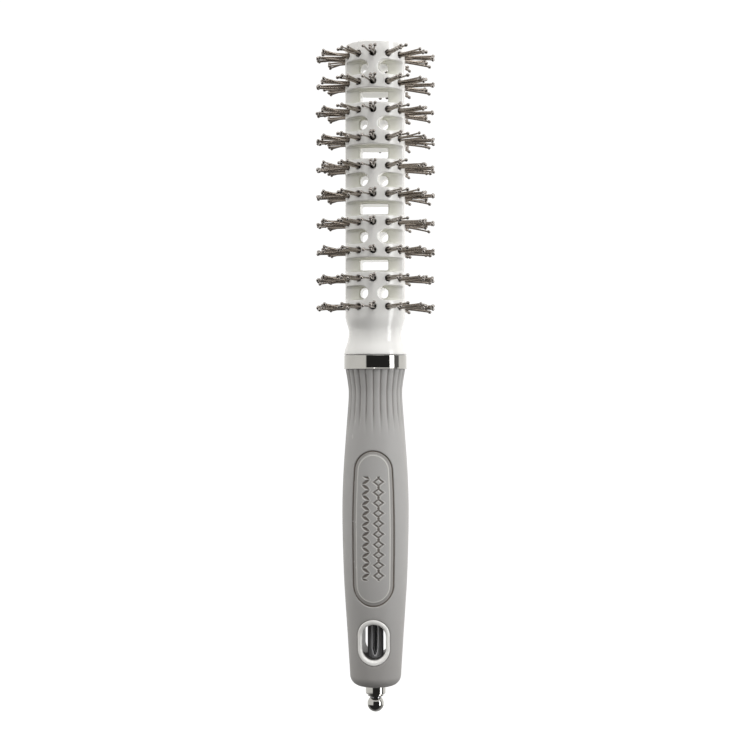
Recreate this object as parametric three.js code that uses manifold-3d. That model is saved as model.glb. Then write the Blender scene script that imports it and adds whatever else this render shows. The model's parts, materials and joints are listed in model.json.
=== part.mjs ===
// A vented round hair brush with a sectioning pick that slides out of its handle.
// Millimetres. +Z runs along the brush, from the handle to the barrel, and the front faces -Y.
// The origin is on the brush's axis, at the widest place of the grip.

import * as THREE from 'three';
import { mergeVertices } from 'three/addons/utils/BufferGeometryUtils.js';
import Module from 'manifold-3d';

const wasm = await Module();
wasm.setup();

// ---- Driving dimensions -------------------------------------------------------------------

const GAP = 0.3; // between neighbouring pieces
const ROUND_SIDES = 24; // a flat for each flute, and for each tuft hole
const SMALL_SIDES = 20;
const HIDDEN_SIDES = 12; // for what nothing shows
const TUFT_SIDES = 5;
const CURVE_STEPS = 8; // pieces of straight line in a half circle or a ball's outline
const DOME_STEPS = 5;
const OUTER_STEPS = 11; // pieces of straight line down the grip's outside
const INNER_STEPS = 7;
const REACH = 30; // a cutter of this length passes right through the brush
const OVERSHOOT = 1; // how far a cutter sticks out of what it cuts
const WELD = 1e-4; // corners closer than this are the same corner

const ROWS = { count: 10, first: 74.7, pitch: 9.96, tufts: 12 };
const RINGS = { first: 74.55, pitch: 10, height: 4.9 }; // the barrel's bands between the vents
const BARREL = { radius: 10.8, bottom: 71.6, top: 168.6, capSocket: 5 };
const VENT = { halfWidth: 10.4, webHalf: 5.7, webArc: 20.4, webSteps: 5, ribHalf: 2 };
const VENT_CORNER = { radius: 2.5, steps: 2 }; // beside a rib
const SLOT = { halfWidth: 5, margin: 0.7, corner: 0.6, ribHalf: 1.8, ribbedCorner: 1.2 };
const CAP = { radius: 7.4, rise: 2.95, plugLength: 2 };
const TUFT = { hole: 1.15, stem: 0.8, tip: 1.6, tipRadius: 21.6, tipRise: 0.6 };
const HOOP = { inner: 3.6, outer: 4.7, halfHeight: 1 };

const NECK = { waist: 9.52, waistZ: 65.6, bottom: 57.75, bottomRadius: 11.3 };
const NECK_FLARE = { inward: 0.1, rise: 2.25, drop: 3.4, steps: 6 }; // how its curve leaves its ends
const NECK_SHOULDER = { inward: 0.05, rise: 2, drop: 2.2, steps: 5 };
const SPIGOT = { radius: 6, bottom: 37 };
const BAND = { radius: 11.42, top: 57.45, bottom: 52.65, bevel: 0.5 };

const GRIP = { top: 52.35, bottom: -61.05, wall: 1.6, mouth: 7.5 };
const GRIP_END = { radius: 5.6, start: -57.2, lift: 0.2, steps: 3 }; // the rounded lower end
const FLUTES = { count: 24, width: 0.9, depth: 0.5, fadeStart: 38, end: 28.5, step: 8.5 };
const BADGE = { top: 23.7, bottom: -31.6, halfWidth: 7.6, groove: 1.6, depth: 0.35 };
const WINDOW = { middle: -44.45, halfWidth: 4.3, halfHeight: 6.4 };
const WINDOW_RIM = { middle: -44.45, halfWidth: 5.7, halfHeight: 8.2, proud: 0.15 };

const PICK_BORE = { radius: 3.15, top: 22 };
const PICK_TRAVEL = 50;
const SLEEVE = { outer: 2.85, inner: 2.4, top: -34, bottom: -59.5 };
const SLIT = { halfWidth: 0.85, square: -47.4, point: -49.9 };
const COLLAR = { flange: 3.6, flangeEnd: -64.1, step: 2.9, end: -65 };
const CLIP = { inner: 1.8, outer: 2.9, thickness: 0.9, mouth: 0.9 };
const ROD = { radius: 2.1, groove: 1.5, head: 1.4, chamfer: 0.5, bottom: -65.4 };
const BALL = { radius: 2.97, centre: -67.8, tenon: 1.2, tenonEnd: -68.6 };

// The grip's outline, (radius, z) from its top to where its lower end starts to round off.
const GRIP_OUTLINE = new THREE.SplineCurve([
  new THREE.Vector2(10.75, GRIP.top),
  new THREE.Vector2(9.98, 47.8),
  new THREE.Vector2(9.66, 42.5),
  new THREE.Vector2(10.65, 28.8),
  new THREE.Vector2(11.6, 14.4),
  new THREE.Vector2(11.95, 0),
  new THREE.Vector2(11.4, -21.6),
  new THREE.Vector2(10.05, -43.2),
  new THREE.Vector2(9.2, GRIP_END.start),
]);

// ---- Materials ----------------------------------------------------------------------------

const material = (color, roughness, metalness = 0) =>
  new THREE.MeshStandardMaterial({ color, roughness, metalness });

const WHITE_PLASTIC = material('#e6e4df', 0.25);
const GREY_SOFT_TOUCH = material('#918f8c', 0.75);
const BRISTLE_NYLON = material('#6f5f55', 0.4);
const CHROME = material('#c9c8c6', 0.08, 1);
const DARK_CHROME = material('#77777a', 0.18, 1);
const STEEL = material('#a9a9aa', 0.3, 1);

// ---- Solids -------------------------------------------------------------------------------

function solid(geometry) {
  const bare = geometry.index ? geometry : geometry.clone();
  bare.deleteAttribute('normal');
  bare.deleteAttribute('uv');
  const merged = mergeVertices(bare, WELD);
  const corners = merged.index.array;
  const triangles = [];
  for (let i = 0; i < corners.length; i += 3) {
    const [a, b, c] = corners.subarray(i, i + 3);
    if (a !== b && b !== c && c !== a) triangles.push(a, b, c);
  }
  return new wasm.Manifold(new wasm.Mesh({
    numProp: 3,
    vertProperties: merged.attributes.position.array,
    triVerts: Uint32Array.from(triangles),
  }));
}

function geometryOf(shape) {
  const mesh = shape.getMesh();
  const geometry = new THREE.BufferGeometry();
  geometry.setAttribute('position', new THREE.BufferAttribute(mesh.vertProperties, 3));
  geometry.setIndex(new THREE.BufferAttribute(mesh.triVerts, 1));
  geometry.computeVertexNormals();
  return geometry;
}

// A solid of revolution about Z. The outline's points are (radius, z), going up on the outside.
// One of its flats faces the front, so that what is cut into the front meets a single flat.
function turned(points, sides = ROUND_SIDES) {
  const outline = points.map((p) => (p.isVector2 ? p : new THREE.Vector2(...p)));
  return solid(new THREE.LatheGeometry(outline, sides, Math.PI / sides).rotateX(Math.PI / 2));
}

// A turned ring with a square section.
function ring(inner, outer, bottom, top, sides) {
  return turned([[inner, bottom], [outer, bottom], [outer, top], [inner, top], [inner, bottom]], sides);
}

function rod(radius, bottom, top, sides) {
  return turned([[0, bottom], [radius, bottom], [radius, top], [0, top]], sides);
}

// A flat outline in the XZ plane, carried through the brush from front to back.
function throughY(outline, curveSegments = 1) {
  const geometry = new THREE.ExtrudeGeometry(outline, { depth: REACH, bevelEnabled: false, curveSegments });
  return solid(geometry.rotateX(Math.PI / 2).translate(0, REACH / 2, 0));
}

// An upright slot with round ends.
function racetrack(halfWidth, halfHeight, middle) {
  const straight = halfHeight - halfWidth;
  const outline = new THREE.Shape();
  outline.absarc(0, middle + straight, halfWidth, 0, Math.PI);
  outline.absarc(0, middle - straight, halfWidth, Math.PI, 2 * Math.PI);
  outline.closePath();
  return outline;
}

function roundedRectangle(left, right, bottom, top, corner) {
  const outline = new THREE.Shape();
  outline.absarc(right - corner, bottom + corner, corner, -Math.PI / 2, 0);
  outline.absarc(right - corner, top - corner, corner, 0, Math.PI / 2);
  outline.absarc(left + corner, top - corner, corner, Math.PI / 2, Math.PI);
  outline.absarc(left + corner, bottom + corner, corner, Math.PI, 1.5 * Math.PI);
  outline.closePath();
  return outline;
}

// Copies of a solid, evenly spaced about Z, joined to or cut from another.
function aroundZ(count, piece, start, combine) {
  let result = start;
  for (let i = 0; i < count; i += 1) {
    result = combine(result, piece.rotate([0, 0, (360 * i) / count]));
  }
  return result;
}

// ---- Barrel -------------------------------------------------------------------------------

const rowZ = (row) => ROWS.first + row * ROWS.pitch;
const ringZ = (row) => RINGS.first + row * RINGS.pitch;

// The front half of a vent: what lies between the lens-shaped web and the barrel's surface.
function ventPocket(bottom, top) {
  const centre = VENT.webArc - VENT.webHalf;
  const spread = Math.asin(VENT.halfWidth / VENT.webArc);
  const outline = new THREE.Shape();
  outline.absarc(0, centre, VENT.webArc, -Math.PI / 2 - spread, -Math.PI / 2 + spread);
  outline.lineTo(VENT.halfWidth, -REACH / 2);
  outline.lineTo(-VENT.halfWidth, -REACH / 2);
  outline.closePath();
  const geometry = new THREE.ExtrudeGeometry(outline, {
    depth: top - bottom,
    bevelEnabled: false,
    curveSegments: VENT.webSteps,
  });
  return solid(geometry.translate(0, 0, bottom));
}

// A vent is open all the way from front to back. Every other one has a rib down its middle.
function cutVent(barrel, middle, ribbed) {
  const half = (RINGS.pitch - RINGS.height) / 2;
  const [bottom, top] = [middle - half, middle + half];
  const pocket = ventPocket(bottom, top);
  const slot = [bottom + SLOT.margin, top - SLOT.margin];
  let cutter;
  if (ribbed) {
    const opening = roundedRectangle(VENT.ribHalf, REACH / 2, bottom, top, VENT_CORNER.radius);
    const hole = roundedRectangle(SLOT.ribHalf, SLOT.halfWidth, ...slot, SLOT.ribbedCorner);
    const rightHalf = pocket.intersect(throughY(opening, VENT_CORNER.steps)).add(throughY(hole));
    cutter = rightHalf.add(rightHalf.mirror([1, 0, 0]));
  } else {
    const hole = roundedRectangle(-SLOT.halfWidth, SLOT.halfWidth, ...slot, SLOT.corner);
    cutter = pocket.add(throughY(hole));
  }
  return barrel.subtract(cutter).subtract(cutter.rotate([0, 0, 180]));
}

// What a row takes out of the barrel: twelve holes, which meet in a groove around the hoop.
function tuftSeats() {
  const hole = rod(TUFT.hole, HOOP.outer, REACH / 2, TUFT_SIDES).rotate([0, 90, 0]);
  const halfHeight = HOOP.halfHeight + GAP;
  const groove = ring(HOOP.inner - GAP, HOOP.outer + GAP, -halfHeight, halfHeight, HIDDEN_SIDES);
  return aroundZ(ROWS.tufts, hole, groove, (a, b) => a.add(b));
}

function neckOutline() {
  const waist = new THREE.Vector2(NECK.waist, NECK.waistZ);
  const flare = new THREE.CubicBezierCurve(
    new THREE.Vector2(NECK.bottomRadius, NECK.bottom),
    new THREE.Vector2(NECK.bottomRadius - NECK_FLARE.inward, NECK.bottom + NECK_FLARE.rise),
    new THREE.Vector2(NECK.waist, NECK.waistZ - NECK_FLARE.drop),
    waist,
  );
  const shoulder = new THREE.CubicBezierCurve(
    waist,
    new THREE.Vector2(NECK.waist, NECK.waistZ + NECK_SHOULDER.rise),
    new THREE.Vector2(BARREL.radius - NECK_SHOULDER.inward, BARREL.bottom - NECK_SHOULDER.drop),
    new THREE.Vector2(BARREL.radius, BARREL.bottom),
  );
  return [...flare.getPoints(NECK_FLARE.steps), ...shoulder.getPoints(NECK_SHOULDER.steps).slice(1)];
}

function barrel() {
  let body = turned([
    [0, SPIGOT.bottom], [SPIGOT.radius, SPIGOT.bottom], [SPIGOT.radius, NECK.bottom],
    ...neckOutline(), [BARREL.radius, BARREL.top], [0, BARREL.top],
  ]);
  const socketFloor = BARREL.top - CAP.plugLength - GAP;
  body = body.subtract(rod(BARREL.capSocket, socketFloor, BARREL.top + OVERSHOOT, HIDDEN_SIDES));
  for (let gap = 0; gap < ROWS.count - 1; gap += 1) {
    body = cutVent(body, ringZ(gap + 0.5), gap % 2 === 0);
  }
  const seats = tuftSeats();
  for (let row = 0; row < ROWS.count; row += 1) {
    body = body.subtract(seats.translate([0, 0, rowZ(row)]));
  }
  return body;
}

function barrelEndCap() {
  const seat = BARREL.top + GAP;
  const plug = BARREL.capSocket - GAP;
  const bottom = BARREL.top - CAP.plugLength;
  const dome = [];
  for (let step = 0; step <= DOME_STEPS; step += 1) {
    const angle = (Math.PI / 2) * (step / DOME_STEPS);
    dome.push([CAP.radius * Math.cos(angle), seat + (CAP.rise - GAP) * Math.sin(angle)]);
  }
  return turned([[0, bottom], [plug, bottom], [plug, seat], ...dome]);
}

// One row: twelve bristle bundles that stand on a thin hoop inside the barrel.
function tuftRow(row) {
  const foot = (HOOP.inner + HOOP.outer) / 2;
  const tuft = turned([
    [0, foot], [TUFT.stem, foot], [TUFT.stem, BARREL.radius],
    [TUFT.tip, TUFT.tipRadius - TUFT.tipRise], [0, TUFT.tipRadius],
  ], TUFT_SIDES).rotate([0, 90, 0]);
  const hoop = ring(HOOP.inner, HOOP.outer, -HOOP.halfHeight, HOOP.halfHeight, HIDDEN_SIDES);
  return aroundZ(ROWS.tufts, tuft, hoop, (a, b) => a.add(b)).translate([0, 0, rowZ(row)]);
}

// ---- Handle -------------------------------------------------------------------------------

function neckBand() {
  const { radius, top, bottom, bevel } = BAND;
  const inner = SPIGOT.radius + GAP;
  return turned([
    [inner, bottom], [radius - bevel, bottom], [radius, bottom + bevel],
    [radius, top], [inner, top], [inner, bottom],
  ]);
}

// The grip's outline moved inwards, as points going up: the rounded lower end, then the long side.
function gripPoints(inset, top, bottom, steps) {
  const foot = new THREE.Vector2(GRIP_END.radius, bottom);
  const heel = GRIP_OUTLINE.getPoint(1);
  const round = new THREE.QuadraticBezierCurve(
    foot,
    new THREE.Vector2(heel.x - inset, bottom + GRIP_END.lift),
    new THREE.Vector2(heel.x - inset, heel.y),
  );
  const side = GRIP_OUTLINE.getPoints(steps).reverse().slice(1);
  const inner = side.map((p) => new THREE.Vector2(p.x - inset, Math.min(p.y, top)));
  return [...round.getPoints(GRIP_END.steps), ...inner];
}

function gripBody(inset, top, bottom, steps = OUTER_STEPS) {
  const points = gripPoints(inset, top, bottom, steps);
  return turned([[0, bottom], ...points, [0, top]]);
}

// The radius of the grip's surface at a height.
function gripRadius(z) {
  let [low, high] = [0, 1];
  for (let step = 0; step < 20; step += 1) {
    const middle = (low + high) / 2;
    if (GRIP_OUTLINE.getPoint(middle).y > z) low = middle;
    else high = middle;
  }
  return GRIP_OUTLINE.getPoint(low).x;
}

// A diamond-section bar that follows the grip's surface at azimuth 0 and rises out of it.
function fluteCutter() {
  const points = [];
  for (let z = GRIP.top + 2; z >= FLUTES.end; z -= FLUTES.step) {
    const rise = Math.max(0, (FLUTES.fadeStart - z) / (FLUTES.fadeStart - FLUTES.end));
    const radius = gripRadius(Math.min(z, GRIP.top)) + rise * FLUTES.depth;
    points.push(new THREE.Vector3(radius, 0, z));
  }
  const diamond = new THREE.Shape([
    new THREE.Vector2(FLUTES.width / 2, 0), new THREE.Vector2(0, FLUTES.depth),
    new THREE.Vector2(-FLUTES.width / 2, 0), new THREE.Vector2(0, -FLUTES.depth),
  ]);
  const extrudePath = new THREE.CatmullRomCurve3(points);
  return solid(new THREE.ExtrudeGeometry(diamond, { extrudePath, steps: points.length - 1 }));
}

// The racetrack groove of the badge, cut only into the skin of the front.
function badgeGroove() {
  const middle = (BADGE.top + BADGE.bottom) / 2;
  const halfHeight = (BADGE.top - BADGE.bottom) / 2;
  const outer = racetrack(BADGE.halfWidth, halfHeight, middle);
  const inner = racetrack(BADGE.halfWidth - BADGE.groove, halfHeight - BADGE.groove, middle);
  const front = new THREE.BoxGeometry(REACH, REACH, 2 * REACH).translate(0, -REACH / 2, middle);
  return throughY(outer, CURVE_STEPS)
    .subtract(throughY(inner, CURVE_STEPS))
    .intersect(solid(front))
    .subtract(gripBody(BADGE.depth, GRIP.top + OVERSHOOT, GRIP.bottom));
}

function gripSleeve() {
  const lowerHole = GRIP_END.radius - GRIP.wall;
  const floor = GRIP.bottom + GRIP.wall;
  const hollow = gripBody(GRIP.wall, GRIP.top, floor, INNER_STEPS)
    .add(rod(GRIP.mouth, GRIP.top - OVERSHOOT, GRIP.top + OVERSHOOT))
    .add(rod(lowerHole, GRIP.bottom - OVERSHOOT, floor + OVERSHOOT));
  let sleeve = gripBody(0, GRIP.top, GRIP.bottom).subtract(hollow);
  sleeve = aroundZ(FLUTES.count, fluteCutter(), sleeve, (a, b) => a.subtract(b));
  const { halfWidth, halfHeight, middle } = WINDOW_RIM;
  const opening = racetrack(halfWidth + GAP, halfHeight + GAP, middle);
  return sleeve.subtract(badgeGroove()).subtract(throughY(opening, CURVE_STEPS));
}

function handleCore() {
  const inset = GRIP.wall + GAP;
  const floor = GRIP.bottom + inset;
  const { halfWidth, halfHeight, middle, proud } = WINDOW_RIM;
  const rim = throughY(racetrack(halfWidth, halfHeight, middle), CURVE_STEPS)
    .intersect(gripBody(-proud, GRIP.top, GRIP.bottom));
  const window = racetrack(WINDOW.halfWidth, WINDOW.halfHeight, WINDOW.middle);
  return gripBody(inset, GRIP.top, floor, INNER_STEPS)
    .add(rim)
    .add(rod(GRIP_END.radius - inset, GRIP.bottom, floor + OVERSHOOT, SMALL_SIDES))
    .subtract(rod(PICK_BORE.radius, GRIP.bottom - OVERSHOOT, PICK_BORE.top, SMALL_SIDES))
    .subtract(rod(SPIGOT.radius + GAP, SPIGOT.bottom - GAP, GRIP.top + OVERSHOOT))
    .subtract(throughY(window, CURVE_STEPS));
}

// ---- Sectioning pick ----------------------------------------------------------------------

// A spring sleeve that grips the pick's rod, slit down its front from its upper end.
function guideSleeve() {
  const slit = new THREE.Shape([
    new THREE.Vector2(-SLIT.halfWidth, SLEEVE.top + OVERSHOOT),
    new THREE.Vector2(-SLIT.halfWidth, SLIT.square),
    new THREE.Vector2(0, SLIT.point),
    new THREE.Vector2(SLIT.halfWidth, SLIT.square),
    new THREE.Vector2(SLIT.halfWidth, SLEEVE.top + OVERSHOOT),
  ]);
  const tube = ring(SLEEVE.inner, SLEEVE.outer, SLEEVE.bottom, SLEEVE.top, SMALL_SIDES);
  return tube.subtract(throughY(slit).translate([0, -REACH / 2, 0]));
}

function pickCollar() {
  const { inner, outer, bottom } = SLEEVE;
  const face = GRIP.bottom - GAP;
  return turned([
    [inner, COLLAR.end], [COLLAR.step, COLLAR.end], [COLLAR.step, COLLAR.flangeEnd],
    [COLLAR.flange, COLLAR.flangeEnd], [COLLAR.flange, face], [outer, face],
    [outer, bottom - GAP], [inner, bottom - GAP], [inner, COLLAR.end],
  ], SMALL_SIDES);
}

// An open clip in the rod's groove. It stops on the guide sleeve when the pick is fully out.
const clipBottom = SLEEVE.top + PICK_TRAVEL + GAP;
const clipTop = clipBottom + CLIP.thickness;

function pickStopClip() {
  const mouth = new THREE.BoxGeometry(2 * CLIP.mouth, REACH, REACH)
    .translate(0, REACH / 2, clipBottom);
  return ring(CLIP.inner, CLIP.outer, clipBottom, clipTop, SMALL_SIDES).subtract(solid(mouth));
}

function pickRod() {
  const { radius, groove, head, chamfer, bottom } = ROD;
  const [grooveBottom, grooveTop] = [clipBottom - GAP, clipTop + GAP];
  const top = grooveTop + head;
  return turned([
    [0, BALL.tenonEnd], [BALL.tenon, BALL.tenonEnd], [BALL.tenon, bottom], [radius, bottom],
    [radius, grooveBottom], [groove, grooveBottom], [groove, grooveTop], [radius, grooveTop],
    [radius, top - chamfer], [radius - chamfer, top], [0, top],
  ], SMALL_SIDES);
}

function pickBall() {
  const hole = BALL.tenon + GAP;
  const flat = BALL.centre + Math.sqrt(BALL.radius ** 2 - ROD.radius ** 2);
  const start = Math.asin(ROD.radius / BALL.radius);
  const side = [];
  for (let step = CURVE_STEPS; step >= 0; step -= 1) {
    const angle = start + ((Math.PI - start) * step) / CURVE_STEPS;
    side.push([BALL.radius * Math.sin(angle), BALL.centre + BALL.radius * Math.cos(angle)]);
  }
  side[0][0] = 0;
  const hollow = [[hole, flat], [hole, BALL.tenonEnd - GAP], [0, BALL.tenonEnd - GAP]];
  return turned([...side, ...hollow], SMALL_SIDES);
}

// ---- Assembly -----------------------------------------------------------------------------

const brush = new THREE.Group();
const pick = new THREE.Group();
brush.add(pick);

function place(group, name, shape, look) {
  const mesh = new THREE.Mesh(geometryOf(shape), look);
  mesh.name = name;
  group.add(mesh);
}

place(brush, 'barrel', barrel(), WHITE_PLASTIC);
place(brush, 'barrel_end_cap', barrelEndCap(), WHITE_PLASTIC);
for (let row = 0; row < ROWS.count; row += 1) {
  place(brush, `tuft_row_${String(row + 1).padStart(2, '0')}`, tuftRow(row), BRISTLE_NYLON);
}
place(brush, 'neck_band', neckBand(), CHROME);
place(brush, 'grip_sleeve', gripSleeve(), GREY_SOFT_TOUCH);
place(brush, 'handle_core', handleCore(), WHITE_PLASTIC);
place(brush, 'pick_guide_sleeve', guideSleeve(), DARK_CHROME);
place(brush, 'pick_collar', pickCollar(), CHROME);
place(pick, 'pick_stop_clip', pickStopClip(), STEEL);
place(pick, 'pick_rod', pickRod(), DARK_CHROME);
place(pick, 'pick_ball', pickBall(), CHROME);

export default brush;
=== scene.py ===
# The looks of a vented round hair brush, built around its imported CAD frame.
# Shapes are worked out in millimetres on the frame's axes: +Z runs from handle to barrel, and the
# front faces -Y. Blender's objects are in metres.

import json
import math

import bpy
import numpy as np
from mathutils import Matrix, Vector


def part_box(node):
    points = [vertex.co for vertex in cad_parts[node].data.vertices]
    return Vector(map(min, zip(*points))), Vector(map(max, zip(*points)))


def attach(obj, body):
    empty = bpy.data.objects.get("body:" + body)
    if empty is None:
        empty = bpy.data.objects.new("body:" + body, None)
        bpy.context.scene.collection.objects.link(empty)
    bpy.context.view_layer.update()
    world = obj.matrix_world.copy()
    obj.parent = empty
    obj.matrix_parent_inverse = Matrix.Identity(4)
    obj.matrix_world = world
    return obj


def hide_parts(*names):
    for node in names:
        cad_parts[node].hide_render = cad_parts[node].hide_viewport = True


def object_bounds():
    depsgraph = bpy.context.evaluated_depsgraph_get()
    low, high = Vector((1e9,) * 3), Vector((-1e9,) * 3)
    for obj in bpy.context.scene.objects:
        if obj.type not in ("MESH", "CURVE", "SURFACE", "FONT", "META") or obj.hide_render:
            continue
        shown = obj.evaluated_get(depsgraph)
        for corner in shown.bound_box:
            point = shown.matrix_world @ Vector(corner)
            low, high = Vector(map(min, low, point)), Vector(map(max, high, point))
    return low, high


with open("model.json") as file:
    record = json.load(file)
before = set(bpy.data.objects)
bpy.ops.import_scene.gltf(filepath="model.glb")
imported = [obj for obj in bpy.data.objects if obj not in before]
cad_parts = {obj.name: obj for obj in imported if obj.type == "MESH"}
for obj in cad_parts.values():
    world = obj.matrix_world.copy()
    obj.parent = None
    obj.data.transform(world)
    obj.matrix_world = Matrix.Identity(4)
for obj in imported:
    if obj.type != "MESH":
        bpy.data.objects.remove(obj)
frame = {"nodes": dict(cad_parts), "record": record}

CAD_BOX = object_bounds()
MM = 0.001


def span(node):
    """The lowest and highest corner of a CAD node, in millimetres."""
    low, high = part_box(node)
    return np.array(low) / MM, np.array(high) / MM


# ---- Sizes, in millimetres ----

GAP = 0.3  # what the CAD model leaves between two pieces that touch
HAIRLINE = 0.1  # what a piece here leaves to the one that it sits on
ROW_COUNT = 10
ROW_NODES = [f"tuft_row_{row + 1:02d}" for row in range(ROW_COUNT)]
ROW_Z = [(span(node)[0][2] + span(node)[1][2]) / 2 for node in ROW_NODES]
ROW_PITCH = (ROW_Z[-1] - ROW_Z[0]) / (ROW_COUNT - 1)
TUFTS = 12  # in a row
OPENINGS = {o["name"]: np.array(o["box_m"]) / MM for o in frame["record"]["physics"]["openings"]}
VENT_Z = [OPENINGS[f"hair_channel_front_{gap + 1}"][:, 2].mean() for gap in range(ROW_COUNT - 1)]
VENT_PITCH = (VENT_Z[-1] - VENT_Z[0]) / (ROW_COUNT - 2)

BARREL_BOX, CAP_BOX, BAND_BOX = span("barrel"), span("barrel_end_cap"), span("neck_band")
GRIP_BOX, TUBE_BOX = span("grip_sleeve"), span("pick_guide_sleeve")
COLLAR_BOX = span("pick_collar")
ROD_BOX, BALL_BOX, CLIP_BOX = span("pick_rod"), span("pick_ball"), span("pick_stop_clip")

BARREL_RADIUS = 10.8
BARREL_TOP = BARREL_BOX[1][2]
RING_HEIGHT = 4.9  # the band of barrel that carries one row of tufts
VENT_HALF = (VENT_PITCH - RING_HEIGHT) / 2
WEB = {"half": 5.7, "arc": 20.4}  # the lens-shaped wall between the front and back vents
RIB_HALF = 2.0  # of the upright rib in every second vent
# The opening through the web, which the rib splits in two in every second vent.
SLOT = {"half_width": 5.0, "half_height": VENT_HALF - 0.7, "corner": 0.6, "rib_half": 1.8}
ROUND_END = 0.05  # how much less than its half height the corner of a round-ended opening is
TUFT_HOLE = {"radius": 1.15, "floor": 6.3}
# How far the edge between two faces is eased.
SOFT_EDGE, MOULDED_EDGE, FINE_EDGE, CRISP_EDGE, TUBE_EDGE = 1.2, 0.6, 0.35, 0.22, 0.08
# Where the painted shade on the vents' walls starts and where it is full: depths under the skin,
# and heights.
VENT_SHADE_DEPTHS, VENT_SHADE_HEIGHTS = (0.3, 2.5), (76.0, 77.0)
END_CAP = {"plug": 4.7, "rim_inset": 0.12, "fullness": 0.9}

SPIGOT_RADIUS, SPIGOT_OVERLAP = 6.0, 1.0  # the overlap is how far it runs into the neck
NECK_BOTTOM = BAND_BOX[1][2] + GAP / 2
GRIP_TOP = GRIP_BOX[1][2] + GAP / 2
NECK = {"foot": 11.3, "waist": 9.52, "waist_z": 65.6, "shoulder_z": 71.6}
# How far the handles of the neck's two curves lie from the curves' ends.
NECK_FLARE = {"inward": 0.1, "rise": 2.25, "drop": 3.4}
NECK_SHOULDER = {"inward": 0.05, "rise": 2.0, "drop": 2.2}
BAND_RADIUS = 11.42
# The lip round the band's lower edge, with heights above that edge.
BAND_LIP = {"proud": 0.16, "chamfer": 0.25, "low": 0.1, "high": 0.16, "end": 0.54}

GRIP_BOTTOM = GRIP_BOX[0][2]
GRIP_WALL, GRIP_CHAMFER = 1.6, 0.25
GRIP_END_RADIUS, GRIP_ROUND_Z = 5.6, -57.2  # its flat lower end, and where it starts to round
GRIP_POINTS = [
    (10.75, GRIP_BOX[1][2]), (9.98, 47.8), (9.66, 42.5), (10.65, 28.8), (11.6, 14.4),
    (11.95, 0), (11.4, -21.6), (10.05, -43.2), (9.2, GRIP_ROUND_Z),
]
FLUTES = {"count": 24, "depth": 0.5, "fade_start": 38.0, "end": 28.0}
# A flute is a wide valley with a narrow one in its middle. The width is a share of half a flute.
FLUTE_SHAPE = {"wide": 0.55, "narrow": 0.45, "narrow_width": 0.28}
BADGE = {"top": 23.7, "bottom": -31.6, "half_width": 7.65, "taper": (0.4, 1.1)}
# Inwards from the badge's edge: a thin deep line, a shallow floor and a raised bead.
BADGE_LINE = {"depth": 0.38, "inward": 0.16, "width": 0.2}
BADGE_FLOOR = {"depth": 0.17, "start": 0.02, "full": 0.25, "rising": 1.2, "end": 1.6}
BADGE_BEAD = {"height": 0.07, "inward": 1.7, "width": 0.16}
# The badge's ornament, and the burr that its pressing raised round each mark.
MARKS = {"top": 12.6, "bottom": -20.5, "links": 9, "stroke": 0.26, "depth": 0.3, "edge": 0.13}
BURR = {"height": 0.05, "away": 0.26, "width": 0.15}
CHAIN = {"x": 1.95, "half_width": 1.6, "half_height": 1.25, "dot": 0.45}
SPRIG = {"x": -2.6, "tilt": math.radians(32), "half_length": 1.6, "bulge": 0.5}
WINDOW = {"middle": -44.45, "half_width": 4.3, "half_height": 6.4}
RIM = {"middle": -44.45, "half_width": 5.7, "half_height": 8.2, "proud": 0.15, "clearance": 0.06}
RIM_SEAM = {"depth": 0.18, "width": 0.35}  # the grip's surface dips towards the rim
PICK_BORE = {"radius": 3.15, "top": 22.0}
SLIT = {"half_width": 0.85, "square": -47.4, "point": -49.9, "bevel": 0.38, "bevel_depth": 0.24}
# Where the painted shade on the window's walls starts and where it is full, and how much further
# out it reaches at the back.
WINDOW_SHADE = {"radii": (8.5, 7.7), "back": 0.7}
TUBE_RADII = (2.4, 2.85)
SLIT_LIGHTING = {"blur": 0.08, "depths": (-0.36, -0.24)}  # the limits of the painted highlight on the slit's bevels, and of the painted shade in the bore
COLLAR = {"flange": 3.6, "flange_end": -64.1, "step": 2.9}
ROD = {"radius": 2.1, "groove": 1.5, "tenon": 1.2}
BALL = {"radius": 2.97, "bore": 1.5}

BRISTLES = {"radius": 0.34, "ball": 0.64, "tip_radius": 21.6, "foot": 6.5, "root": 0.6}
TAPER = {"root": 1.08, "loss": 0.18}  # shares of a bristle's radius
# What differs from bristle to bristle: shares of its sizes and lean, a bend and an angle.
VARIETY = {
    "reach": (0.975, 0.995), "ball": (0.94, 1.06), "radius": (0.92, 1.08), "lean": (0.8, 1.15),
    "bend": (-0.1, 0.1), "way": (-0.28, 0.28),
}
BRISTLE_SIDES = 8
SHAFT_STOPS = (0, 0.3, 0.45, 0.6, 0.75, 0.88)  # shares of a bristle's length
# How far each bristle's tip leans from the tuft's middle, and which way. An angle of 0 is to the
# right, and a quarter turn is up.
LEANS = ((2.9, 3.35), (1.6, 0.4), (0.55, 4.7), (0.2, 1.9), (0.35, 0.8))
# How far those leans are turned in each tuft of a row.
SWINGS = (0.0, 3.1, -0.3, 2.9, 0.3, 3.4, -0.2, 0.2, 3.3, -0.4, 0.3, 2.8)

# The grids that the fields are sampled on, and how many triangles are kept.
BARREL_GRID = {"step": 0.4, "margin": 1.0, "triangles": 190_000}
CORE_GRID = {"step": 0.36, "margin": 1.0, "triangles": 120_000}
TUBE_GRID = {"step": 0.17, "margin": 0.6}


# ---- Fields: negative inside, positive outside ----

def smooth_max(a, b, blend):
    """The larger of two fields, with the edge between them eased."""
    overlap = np.maximum(blend - np.abs(a - b), 0)
    return np.maximum(a, b) + overlap * overlap / (4 * blend)


def smooth_min(a, b, blend):
    """The smaller of two fields, with the edge between them eased."""
    return -smooth_max(-a, -b, blend)


def smooth_step(low, high, value):
    """0 up to low and 1 from high on, with eased ends. Low may be the larger."""
    t = np.clip((value - low) / (high - low), 0, 1)
    return t * t * (3 - 2 * t)


def hump(value, width):
    """1 where the value is zero, falling off on both sides."""
    return np.exp(-((value / width) ** 2))


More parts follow.
